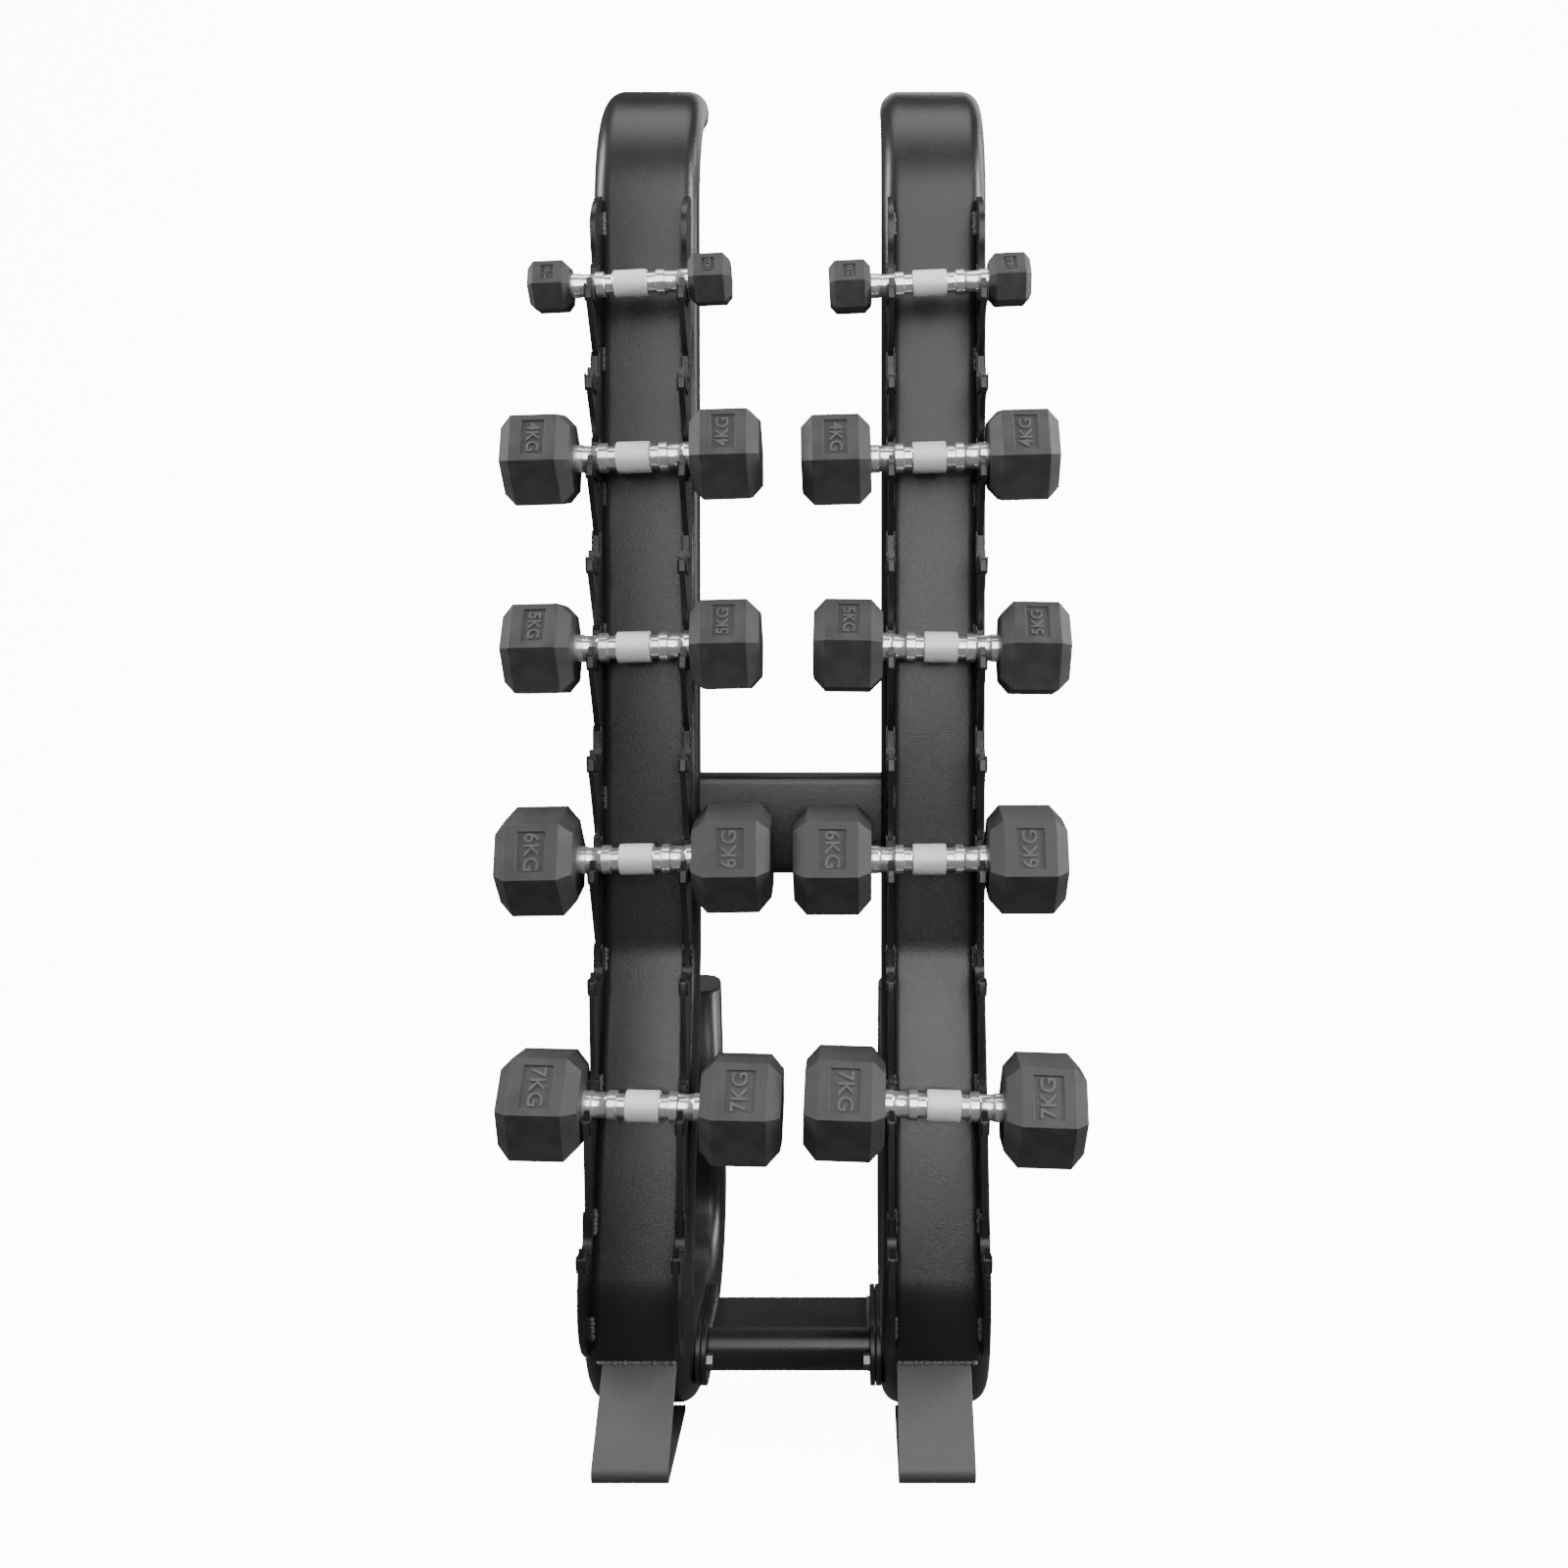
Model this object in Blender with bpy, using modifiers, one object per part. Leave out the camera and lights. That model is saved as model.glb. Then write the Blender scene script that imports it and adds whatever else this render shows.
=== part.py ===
"""Twin-column dumbbell rack with ten hex dumbbells resting in its saddles.

Metres, +Z up, front towards -Y. The columns are drawn about their own mid-plane (y = 0 on the straight
upright), and place_origin moves everything so that the origin is under the middle of the whole object.
"""

import math

import bmesh
import bpy
from mathutils import Matrix, Vector

# Rack: overall layout
COLUMN_SPACING = 0.268
TUBE_WIDTH = 0.098
TUBE_DEPTH = 0.040
TUBE_CORNER = 0.018
TUBE_WALL = 0.003
CORNER_STEPS = 3
ARC_STEP_DEG = 11
GAP = 0.0003

# Rack: the side profile of a column's centre line
TOP_BEND_RADIUS = 0.126
TOP_BEND_DEG = 72
TOP_BEND_CENTRE_Z = 1.1295
BASE_BEND_RADIUS = 0.105
LEAN_DEG = 15
FRONT_REACH = 0.078
REAR_REACH = 0.262
REAR_LEG_LENGTH = 0.209

# End caps
CAP_LIP = 0.003
CAP_PLUG = 0.014

# Hook plates and their saddles, from the top one down
PLATE_THICKNESS = 0.005
PLATE_OFFSET = 0.0409
TOP_SADDLE_Z = 1.0435
SADDLE_PITCHES = (0.079, 0.0775, 0.0845, 0.086, 0.092, 0.100, 0.100, 0.1165, 0.1105)
SLOT_RADIUS = 0.0145
SLOT_REAR_RISE = 0.013
PRONG_WIDTH = 0.0045
PRONG_DROP = 0.010
PRONG_REACH = 0.0585
PRONG_REACH_LOSS = 0.001
SLOT_FROM_PRONG = 0.016

# Cross tubes, flanges and bolts
CROSS_WIDTH = 0.096
UPPER_CROSS_Z = 0.551
UPPER_CROSS_DEPTH = 0.023
UPPER_CROSS_Y = 0.0077
UPPER_CROSS_CORNER = 0.011
LOWER_CROSS = (-0.003, 0.067)
FLANGE_LENGTH = 0.130
FLANGE_HEIGHT = 0.060
FLANGE_THICKNESS = 0.005
BOLT_PLACES = {"front": (-0.0595, 0.067), "rear": (0.0535, 0.067)}
BOLT_RADIUS = 0.004
BOLT_HEAD_RADIUS = 0.0070
BOLT_HEAD_HEIGHT = 0.0055

# Front feet
FOOT_WIDTH = 0.066
FOOT_PLATE = 0.006
FOOT_NOSE_Y = -0.150
FOOT_INSET = 0.003
FOOT_NOSE_RADIUS = 0.010
FOOT_TOP_Z = 0.079
FOOT_RETURN_Y = -0.018

# Dumbbells: kilograms, then the length, the head's size across corners and the handle's thickness ratio
HANDLE_GAP = 0.105
HANDLE_INSERT = 0.018
DUMBBELL_SIZES = {
    1: (0.180, 0.049, 0.85),
    4: (0.229, 0.0918, 1.0),
    5: (0.229, 0.0918, 1.0),
    6: (0.245, 0.1010, 1.0),
    7: (0.2475, 0.1030, 1.0),
}
# Each row: kilograms, saddle from the top, then for each side the shift along X, the heads' roll and the tilt
DUMBBELL_ROWS = (
    (1, 0, {"left": (-0.0060, 24.5, 2.7), "right": (-0.0065, 30.0, 2.6)}),
    (4, 2, {"left": (-0.0040, 22.0, 1.8), "right": (-0.0065, 22.0, 1.5)}),
    (5, 4, {"left": (-0.0045, 31.0, 1.4), "right": (0.0040, 35.5, -0.8)}),
    (6, 6, {"left": (-0.0030, 17.0, 1.0), "right": (-0.0060, 19.0, 0.3)}),
    (7, 8, {"left": (0.0065, 35.0, -1.4), "right": (0.0055, 29.0, -2.0)}),
)
HANDLE_GRIP_RADIUS = 0.0141
HANDLE_NECK_RADIUS = 0.0107
HANDLE_RING_RADIUS = 0.0134
HANDLE_SHAFT_RADIUS = 0.0106
HANDLE_COLLAR_RADIUS = 0.0113
HANDLE_STEPS = 16
SEAT_RADIUS = 0.0120
HEAD_CHAMFER_RATIO = 0.115

SIDES = {"left": -1, "right": 1}


# ---------------------------------------------------------------- scene helpers


def clear_scene():
    for obj in list(bpy.data.objects):
        bpy.data.objects.remove(obj, do_unlink=True)


def new_collection(name, hidden=False):
    collection = bpy.data.collections.new(name)
    bpy.context.scene.collection.children.link(collection)
    collection.hide_render = hidden
    return collection


def new_material(name, colour, roughness, metallic):
    material = bpy.data.materials.new(name)
    material.use_nodes = True
    shader = material.node_tree.nodes["Principled BSDF"]
    shader.inputs["Base Color"].default_value = (*colour, 1.0)
    shader.inputs["Roughness"].default_value = roughness
    shader.inputs["Metallic"].default_value = metallic
    material.diffuse_color = (*colour, 1.0)
    return material


clear_scene()
PARTS = new_collection("dumbbell_rack")
CUTTERS = new_collection("cutters", hidden=True)
POWDER_COAT = new_material("powder_coat", (0.030, 0.030, 0.032), 0.45, 0.2)
FOOT_COAT = new_material("foot_coat", (0.080, 0.080, 0.083), 0.5, 0.2)
CAP_PLASTIC = new_material("cap_plastic", (0.020, 0.020, 0.021), 0.5, 0.0)
ZINC = new_material("zinc", (0.55, 0.55, 0.56), 0.35, 1.0)
RUBBER = new_material("rubber", (0.030, 0.030, 0.031), 0.75, 0.0)
CHROME = new_material("chrome", (0.80, 0.80, 0.82), 0.12, 1.0)

YZ_PLANE = Matrix(((0, 0, 1, 0), (1, 0, 0, 0), (0, 1, 0, 0), (0, 0, 0, 1)))


def add_object(name, data, material, matrix=None):
    obj = bpy.data.objects.new(name, data)
    PARTS.objects.link(obj)
    if material is not None:
        data.materials.clear()
        data.materials.append(material)
    if matrix is not None:
        obj.matrix_world = matrix
    return obj


def to_mesh(obj):
    """Turns a curve object into a mesh object of the same name, with its caps welded on."""
    bpy.context.view_layer.update()
    evaluated = obj.evaluated_get(bpy.context.evaluated_depsgraph_get())
    mesh = bpy.data.meshes.new_from_object(evaluated)
    shape = bmesh.new()
    shape.from_mesh(mesh)
    bmesh.ops.remove_doubles(shape, verts=shape.verts, dist=1e-5)
    bmesh.ops.recalc_face_normals(shape, faces=shape.faces)
    shape.to_mesh(mesh)
    shape.free()
    name, matrix = obj.name, obj.matrix_world.copy()
    curve = obj.data
    bpy.data.objects.remove(obj, do_unlink=True)
    bpy.data.curves.remove(curve)
    meshed = bpy.data.objects.new(name, mesh)
    PARTS.objects.link(meshed)
    meshed.matrix_world = matrix
    return meshed


def smooth(obj, degrees=35):
    obj.data.shade_smooth()
    obj.data.set_sharp_from_angle(angle=math.radians(degrees))


def boolean(obj, other, operation):
    """Joins or cuts obj with a helper mesh, which moves to the cutters' collection."""
    for collection in list(other.users_collection):
        collection.objects.unlink(other)
    CUTTERS.objects.link(other)
    other.hide_render = True
    other.display_type = "WIRE"
    modifier = obj.modifiers.new(f"{operation}_{other.name}", "BOOLEAN")
    modifier.operation = operation
    modifier.solver = "EXACT"
    modifier.object = other


def cylinder(name, radius, length, matrix, material=None, steps=16):
    """A cylinder about its own Z axis, from z = 0 to z = length, placed by matrix."""
    shape = bmesh.new()
    bmesh.ops.create_cone(
        shape, cap_ends=True, segments=steps, radius1=radius, radius2=radius, depth=length,
        matrix=Matrix.Translation((0, 0, length / 2)),
    )
    mesh = bpy.data.meshes.new(name)
    shape.to_mesh(mesh)
    shape.free()
    return add_object(name, mesh, material, matrix)


def closed_curve(name, outline):
    """A closed 2D curve through (x, y) points."""
    curve = bpy.data.curves.new(name, "CURVE")
    curve.dimensions = "2D"
    spline = curve.splines.new("POLY")
    spline.points.add(len(outline) - 1)
    for point, (x, y) in zip(spline.points, outline):
        point.co = (x, y, 0, 1)
    spline.use_cyclic_u = True
    return curve


def plate(name, outline, thickness, material, matrix):
    """A flat outline in (x, y), given its thickness about its own plane, and placed by matrix."""
    curve = closed_curve(name, outline)
    curve.fill_mode = "BOTH"
    curve.extrude = thickness / 2
    return to_mesh(add_object(name, curve, material, matrix))


# ---------------------------------------------------------------- outlines


def arc(centre, radius, start_deg, end_deg, step_deg=ARC_STEP_DEG):
    steps = max(1, math.ceil(abs(end_deg - start_deg) / step_deg))
    points = []
    for i in range(steps + 1):
        angle = math.radians(start_deg + (end_deg - start_deg) * i / steps)
        points.append((centre[0] + radius * math.cos(angle), centre[1] + radius * math.sin(angle)))
    return points


def rounded_rectangle(width, height, radius, steps=CORNER_STEPS):
    step_deg = 90 / steps
    inner_x, inner_y = width / 2 - radius, height / 2 - radius
    outline = []
    for sign_x, sign_y, start in ((1, 1, 0), (-1, 1, 90), (-1, -1, 180), (1, -1, 270)):
        outline += arc((sign_x * inner_x, sign_y * inner_y), radius, start, start + 90, step_deg)
    return outline


def column_stations(shift=0.0):
    """The column's centre line in (y, z), or a line shifted towards its outer, front side."""
    lean = math.radians(LEAN_DEG)
    base_z = BASE_BEND_RADIUS + TUBE_DEPTH / 2
    front_centre = (BASE_BEND_RADIUS - FRONT_REACH, base_z)
    rear_centre = (REAR_REACH - BASE_BEND_RADIUS, base_z)
    sagitta = BASE_BEND_RADIUS * (1 - math.cos(lean))
    rise = BASE_BEND_RADIUS * math.sin(lean)
    knee_z = base_z + 2 * rise + (FRONT_REACH - 2 * sagitta) / math.tan(lean)
    leg_foot = arc(rear_centre, BASE_BEND_RADIUS + shift, LEAN_DEG, LEAN_DEG)[0]
    leg_end = (
        leg_foot[0] - REAR_LEG_LENGTH * math.sin(lean),
        leg_foot[1] + REAR_LEG_LENGTH * math.cos(lean),
    )
    top_centre = (TOP_BEND_RADIUS, TOP_BEND_CENTRE_Z)
    stations = arc(top_centre, TOP_BEND_RADIUS + shift, 180 - TOP_BEND_DEG, 180)
    stations += arc((-BASE_BEND_RADIUS, knee_z), BASE_BEND_RADIUS - shift, 0, -LEAN_DEG)
    stations += arc(front_centre, BASE_BEND_RADIUS + shift, 180 - LEAN_DEG, 270)
    stations += arc(rear_centre, BASE_BEND_RADIUS + shift, -90, LEAN_DEG)
    return stations + [leg_end]


def centre_line_y(z):
    """The y of the column's centre line, on its front side, at height z."""
    points = column_stations()
    for (y0, z0), (y1, z1) in zip(points, points[1:]):
        if z1 <= z <= z0:
            return y0 + (y1 - y0) * (z0 - z) / (z0 - z1)
    raise ValueError(f"the column has no front side at z = {z}")


def saddle_centres():
    """The (y, z) of each slot's centre, from the top one down."""
    centres = []
    z = TOP_SADDLE_Z
    for level, pitch in enumerate((0.0, *SADDLE_PITCHES)):
        z -= pitch
        reach = PRONG_REACH - PRONG_REACH_LOSS * (level + 1)
        centres.append((centre_line_y(z) - TUBE_DEPTH / 2 - reach + SLOT_FROM_PRONG, z))
    return centres


def hook_plate_outline():
    """The side plate in (y, z): a rounded head, ten U slots with a front prong each, and a rounded tail."""
    centres = saddle_centres()
    top_y, top_z = centres[0]
    outline = [
        (-0.0245, top_z + 0.088),
        (top_y + 0.024, top_z + 0.082),
        (top_y + 0.010, top_z + 0.071),
        (top_y + 0.002, top_z + 0.059),
        (top_y + 0.001, top_z + 0.047),
        (top_y + 0.005, top_z + 0.033),
    ]
    for y, z in centres:
        outline.append((y + SLOT_RADIUS, z + SLOT_REAR_RISE))
        outline += arc((y, z), SLOT_RADIUS, 0, -180, 26)
        prong_y = y - SLOT_RADIUS - PRONG_WIDTH / 2
        outline += arc((prong_y, z - PRONG_DROP), PRONG_WIDTH / 2, 45, 180, 45)
        outline.append((prong_y - PRONG_WIDTH / 2 - 0.001, z - PRONG_DROP - 0.009))
    tail_y, tail_z = centres[-1]
    tail_y -= SLOT_RADIUS + PRONG_WIDTH
    outline += [
        (tail_y - 0.004, tail_z - 0.035),
        (tail_y - 0.004, tail_z - 0.060),
        (tail_y + 0.002, tail_z - 0.080),
        (tail_y + 0.014, tail_z - 0.096),
        (tail_y + 0.032, tail_z - 0.108),
    ]
    corner_drop = TUBE_CORNER - math.sqrt(
        TUBE_CORNER**2 - (PLATE_OFFSET - PLATE_THICKNESS / 2 - TUBE_WIDTH / 2 + TUBE_CORNER) ** 2
    )
    back = column_stations(TUBE_DEPTH / 2 - corner_drop + GAP)
    lowest, highest = outline[-1][1], outline[0][1]
    edge = [(y, z) for y, z in back if lowest < z < highest and y < 0.03]
    return outline + [(y, z) for y, z in reversed(edge)]


# ---------------------------------------------------------------- the rack


def column_tube(side):
    """The bent flat-oval tube of one column, hollow and open at both ends."""
    name = f"{side}_column_tube"
    outline = rounded_rectangle(TUBE_WIDTH, TUBE_DEPTH, TUBE_CORNER)
    section = bpy.data.objects.new("section", closed_curve("section", outline))
    CUTTERS.objects.link(section)
    section.hide_render = True
    path = bpy.data.curves.new(name, "CURVE")
    path.dimensions = "3D"
    path.bevel_mode = "OBJECT"
    path.bevel_object = section
    stations = column_stations()
    spline = path.splines.new("POLY")
    spline.points.add(len(stations) - 1)
    for point, (y, z) in zip(spline.points, stations):
        point.co = (0, y, z, 1)
    place = Matrix.Translation((SIDES[side] * COLUMN_SPACING / 2, 0, 0))
    tube = to_mesh(add_object(name, path, POWDER_COAT, place))
    bpy.data.objects.remove(section, do_unlink=True)
    wall = tube.modifiers.new("wall", "SOLIDIFY")
    wall.thickness = TUBE_WALL
    wall.offset = -1
    smooth(tube)
    return tube


def end_cap(name, side, place, direction):
    """A plug cap whose lip covers the tube's end; direction is the (y, z) way out of the tube."""
    out_y, out_z = direction
    centre = Vector((SIDES[side] * COLUMN_SPACING / 2, place[0], place[1]))
    frame = Matrix(((1, 0, 0, 0), (0, -out_z, out_y, 0), (0, out_y, out_z, 0), (0, 0, 0, 1)))
    lip_outline = rounded_rectangle(TUBE_WIDTH, TUBE_DEPTH, TUBE_CORNER)
    inset = 2 * (TUBE_WALL + GAP)
    plug_outline = rounded_rectangle(
        TUBE_WIDTH - inset, TUBE_DEPTH - inset, TUBE_CORNER - inset / 2
    )
    outward = Vector((0, out_y, out_z))
    lip_place = Matrix.Translation(centre + outward * (GAP + CAP_LIP / 2)) @ frame
    plug_place = Matrix.Translation(centre + outward * (GAP + CAP_LIP / 2 - CAP_PLUG / 2)) @ frame
    lip = plate(name, lip_outline, CAP_LIP, CAP_PLASTIC, lip_place)
    plug = plate(f"{name}_plug", plug_outline, CAP_PLUG, CAP_PLASTIC, plug_place)
    boolean(lip, plug, "UNION")
    smooth(lip)


def end_caps(side):
    stations = column_stations()
    for name, end, before in (("top", stations[0], stations[1]), ("rear", stations[-1], stations[-2])):
        out = Vector((end[0] - before[0], end[1] - before[1])).normalized()
        end_cap(f"{side}_{name}_cap", side, end, out)


def hook_plates(side):
    outline = hook_plate_outline()
    for label, sign in SIDES.items():
        x = SIDES[side] * COLUMN_SPACING / 2 + sign * PLATE_OFFSET
        place = Matrix.Translation((x, 0, 0)) @ YZ_PLANE
        plate(f"{side}_column_{label}_hook_plate", outline, PLATE_THICKNESS, POWDER_COAT, place)


def cross_tube(name, section, corner, half_length, y, z):
    """A straight hollow tube along X, open at both ends."""
    outer = closed_curve(name, rounded_rectangle(*section, corner))
    outer.extrude = half_length
    tube = to_mesh(add_object(name, outer, POWDER_COAT, Matrix.Translation((0, y, z)) @ YZ_PLANE))
    wall = tube.modifiers.new("wall", "SOLIDIFY")
    wall.thickness = TUBE_WALL
    wall.offset = -1
    smooth(tube)
    return tube


def cross_tubes():
    """The upper one is coped to the columns' round sides, and the lower one is held between its flanges."""
    inner = COLUMN_SPACING / 2 - TUBE_WIDTH / 2 - GAP
    section = (UPPER_CROSS_DEPTH, CROSS_WIDTH)
    coped = inner + TUBE_CORNER / 2
    upper = cross_tube(
        "upper_cross_tube", section, UPPER_CROSS_CORNER, coped, UPPER_CROSS_Y, UPPER_CROSS_Z
    )
    enlarged = rounded_rectangle(TUBE_WIDTH + 2 * GAP, TUBE_DEPTH + 2 * GAP, TUBE_CORNER + GAP)
    for side, sign in SIDES.items():
        place = Matrix.Translation((sign * COLUMN_SPACING / 2, 0, UPPER_CROSS_Z))
        cope = plate(f"{side}_cope", enlarged, 2 * CROSS_WIDTH, None, place)
        boolean(upper, cope, "DIFFERENCE")
    lower = inner - 2 * FLANGE_THICKNESS - 2 * GAP
    cross_tube("lower_cross_tube", (CROSS_WIDTH, TUBE_DEPTH), TUBE_CORNER, lower, *LOWER_CROSS)


def flange_joint(side):
    """The column's flange, the cross tube's flange and the two bolts that hold them together."""
    sign = SIDES[side]
    column_side = COLUMN_SPACING / 2 - TUBE_WIDTH / 2
    outline = rounded_rectangle(FLANGE_LENGTH, FLANGE_HEIGHT, FLANGE_HEIGHT / 2 - 0.001, 5)
    for order, label in enumerate(("column_flange", "tube_flange")):
        x = column_side - (order + 1) * GAP - (order + 0.5) * FLANGE_THICKNESS
        place = Matrix.Translation((sign * x, *LOWER_CROSS)) @ YZ_PLANE
        flange = plate(f"{side}_{label}", outline, FLANGE_THICKNESS, POWDER_COAT, place)
        for y, z in BOLT_PLACES.values():
            hole = Matrix.Translation((-0.2, y, z)) @ Matrix.Rotation(math.pi / 2, 4, "Y")
            boolean(flange, cylinder("bolt_hole", BOLT_RADIUS + GAP, 0.4, hole), "DIFFERENCE")
    head_x = column_side - 2 * (FLANGE_THICKNESS + GAP) - GAP
    for label, (y, z) in BOLT_PLACES.items():
        inward = Matrix.Rotation(-sign * math.pi / 2, 4, "Y")
        head_place = Matrix.Translation((sign * head_x, y, z)) @ inward
        name = f"{side}_flange_{label}_bolt"
        head = cylinder(name, BOLT_HEAD_RADIUS, BOLT_HEAD_HEIGHT, head_place, ZINC, 6)
        shank_length = 2 * (FLANGE_THICKNESS + GAP) + BOLT_HEAD_HEIGHT / 2
        start = sign * (head_x + shank_length - BOLT_HEAD_HEIGHT / 2)
        shank_place = Matrix.Translation((start, y, z)) @ inward
        boolean(head, cylinder(f"{name}_shank", BOLT_RADIUS, shank_length, shank_place), "UNION")


def foot_outline():
    """A bent flat bar in (y, z): down from the tube's front, round the nose and back along the floor."""
    bend_centre = Vector((BASE_BEND_RADIUS - FRONT_REACH, BASE_BEND_RADIUS + TUBE_DEPTH / 2))
    bend_radius = BASE_BEND_RADIUS + TUBE_DEPTH / 2 + GAP
    drop = bend_centre.y - FOOT_TOP_Z
    weld = Vector((bend_centre.x - math.sqrt(bend_radius**2 - drop**2), FOOT_TOP_Z))
    nose_centre = Vector((FOOT_NOSE_Y + FOOT_NOSE_RADIUS, FOOT_NOSE_RADIUS))
    slope = weld - nose_centre
    tangent = math.atan2(slope.y, slope.x) + math.acos(FOOT_NOSE_RADIUS / slope.length)
    tangent_deg = math.degrees(tangent)
    outward = Vector((math.cos(tangent), math.sin(tangent)))
    inner_radius = FOOT_NOSE_RADIUS - FOOT_PLATE
    start = nose_centre + outward * inner_radius
    along = Vector((outward.y, -outward.x))
    to_bend = bend_centre - start
    halfway = to_bend.dot(along)
    run = halfway - math.sqrt(bend_radius**2 - to_bend.length_squared + halfway**2)
    outer = [tuple(weld), *arc(nose_centre, FOOT_NOSE_RADIUS, tangent_deg, 270, 20), (FOOT_RETURN_Y, 0)]
    inner = [(FOOT_RETURN_Y, FOOT_PLATE), *arc(nose_centre, inner_radius, 270, tangent_deg, 40)]
    return outer + inner + [tuple(start + along * run)]


def front_foot(side):
    place = Matrix.Translation((SIDES[side] * (COLUMN_SPACING / 2 - FOOT_INSET), 0, 0)) @ YZ_PLANE
    plate(f"{side}_front_foot", foot_outline(), FOOT_WIDTH, FOOT_COAT, place)


# ---------------------------------------------------------------- the dumbbells


def handle(name, place, thickness):
    """A turned chrome handle about X, whose ends sit in the heads' sockets."""
    half = HANDLE_GAP / 2 + HANDLE_INSERT
    steps = (
        (0.0145, HANDLE_GRIP_RADIUS),
        (0.0232, HANDLE_NECK_RADIUS),
        (0.0312, HANDLE_RING_RADIUS),
        (0.0445, HANDLE_SHAFT_RADIUS),
        (half, HANDLE_COLLAR_RADIUS),
    )
    upper = []
    start = 0.0
    for end, radius in steps:
        upper += [(radius * thickness, start), (radius * thickness, end)]
        start = end
    upper = upper[1:]
    profile = [(0, half)] + upper[::-1] + [(r, -x) for r, x in upper] + [(0, -half)]
    mesh = bpy.data.meshes.new(name)
    mesh.from_pydata([(r, 0, x) for r, x in profile], [(i, i + 1) for i in range(len(profile) - 1)], [])
    obj = add_object(name, mesh, CHROME, place @ Matrix.Rotation(math.pi / 2, 4, "Y"))
    screw = obj.modifiers.new("turn", "SCREW")
    screw.steps = screw.render_steps = HANDLE_STEPS
    screw.use_merge_vertices = True
    screw.merge_threshold = 1e-5
    smooth(obj)


def head_mesh(kilograms):
    """A hexagonal head about X, chamfered at both ends, with the handle's socket in its -X end."""
    length, across_corners, _ = DUMBBELL_SIZES[kilograms]
    head_length = (length - HANDLE_GAP) / 2
    shape = bmesh.new()
    bmesh.ops.create_cone(
        shape, cap_ends=True, segments=6, depth=head_length,
        radius1=across_corners / 2, radius2=across_corners / 2,
        matrix=Matrix.Rotation(math.pi / 2, 4, "Y"),
    )
    rims = [edge for edge in shape.edges if abs(edge.verts[0].co.x - edge.verts[1].co.x) < 1e-6]
    chamfer = HEAD_CHAMFER_RATIO * across_corners
    bmesh.ops.bevel(shape, geom=rims, offset=chamfer, offset_type="OFFSET", segments=1, affect="EDGES")
    mesh = bpy.data.meshes.new(f"head_{kilograms}kg")
    shape.to_mesh(mesh)
    shape.free()
    return mesh, head_length


def dumbbell(side, row):
    kilograms, saddle, shifts = row
    shift, face_deg, tilt_deg = shifts[side]
    y, z = saddle_centres()[saddle]
    thickness = DUMBBELL_SIZES[kilograms][2]
    seat_drop = SEAT_RADIUS - HANDLE_COLLAR_RADIUS * thickness
    tilt_rise = 0.4 * PLATE_OFFSET * math.sin(math.radians(abs(tilt_deg)))
    centre = Vector((SIDES[side] * COLUMN_SPACING / 2 + shift, y, z - seat_drop + tilt_rise))
    tilt = Matrix.Rotation(math.radians(-tilt_deg), 4, "Y")
    roll = Matrix.Rotation(math.radians(30 - face_deg), 4, "X")
    place = Matrix.Translation(centre) @ tilt @ roll
    name = f"{side}_dumbbell_{kilograms}kg"
    handle(f"{name}_handle", place, thickness)
    for label, sign in SIDES.items():
        mesh, head_length = head_mesh(kilograms)
        x = sign * (HANDLE_GAP / 2 + head_length / 2)
        head = add_object(f"{name}_{label}_head", mesh, RUBBER, place @ Matrix.Translation((x, 0, 0)))
        socket_start = sign * (HANDLE_GAP / 2 - 0.01)
        turn = Matrix.Rotation(sign * math.pi / 2, 4, "Y")
        socket_place = place @ Matrix.Translation((socket_start, 0, 0)) @ turn
        depth = HANDLE_INSERT + 0.01 + GAP
        radius = HANDLE_COLLAR_RADIUS * thickness + GAP
        socket = cylinder(f"{name}_{label}_socket", radius, depth, socket_place)
        boolean(head, socket, "DIFFERENCE")


# ---------------------------------------------------------------- assembly


def place_origin():
    """Moves every piece so that the origin is on the floor under the middle of the whole object's box."""
    bpy.context.view_layer.update()
    graph = bpy.context.evaluated_depsgraph_get()
    corners = []
    for obj in PARTS.objects:
        solid = obj.evaluated_get(graph)
        corners += [solid.matrix_world @ Vector(corner) for corner in solid.bound_box]
    middle_x = (min(c.x for c in corners) + max(c.x for c in corners)) / 2
    middle_y = (min(c.y for c in corners) + max(c.y for c in corners)) / 2
    shift = Matrix.Translation((-middle_x, -middle_y, 0))
    for obj in (*PARTS.objects, *CUTTERS.objects):
        obj.matrix_world = shift @ obj.matrix_world


def build():
    for side in SIDES:
        column_tube(side)
        end_caps(side)
        hook_plates(side)
        flange_joint(side)
        front_foot(side)
        for row in DUMBBELL_ROWS:
            dumbbell(side, row)
    cross_tubes()
    place_origin()


build()
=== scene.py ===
"""Looks for the dumbbell rack: finer tubes, plates, liners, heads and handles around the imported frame."""

import math

import bmesh
import bpy
from mathutils import Matrix, Vector


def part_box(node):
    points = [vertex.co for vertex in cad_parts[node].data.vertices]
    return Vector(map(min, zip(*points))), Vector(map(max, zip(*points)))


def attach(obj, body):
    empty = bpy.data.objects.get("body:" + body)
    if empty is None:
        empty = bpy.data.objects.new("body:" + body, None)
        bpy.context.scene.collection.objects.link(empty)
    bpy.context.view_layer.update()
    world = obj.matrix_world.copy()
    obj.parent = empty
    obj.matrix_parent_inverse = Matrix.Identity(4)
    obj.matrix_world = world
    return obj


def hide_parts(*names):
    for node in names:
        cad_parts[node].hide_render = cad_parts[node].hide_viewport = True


# Sizes shared with the CAD, in metres
COLUMN_SPACING = 0.268
TUBE_WIDTH, TUBE_DEPTH, TUBE_CORNER, TUBE_WALL = 0.098, 0.040, 0.018, 0.003
TOP_BEND_RADIUS, TOP_BEND_DEG, TOP_BEND_CENTRE_Z = 0.126, 72, 1.1295
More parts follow.
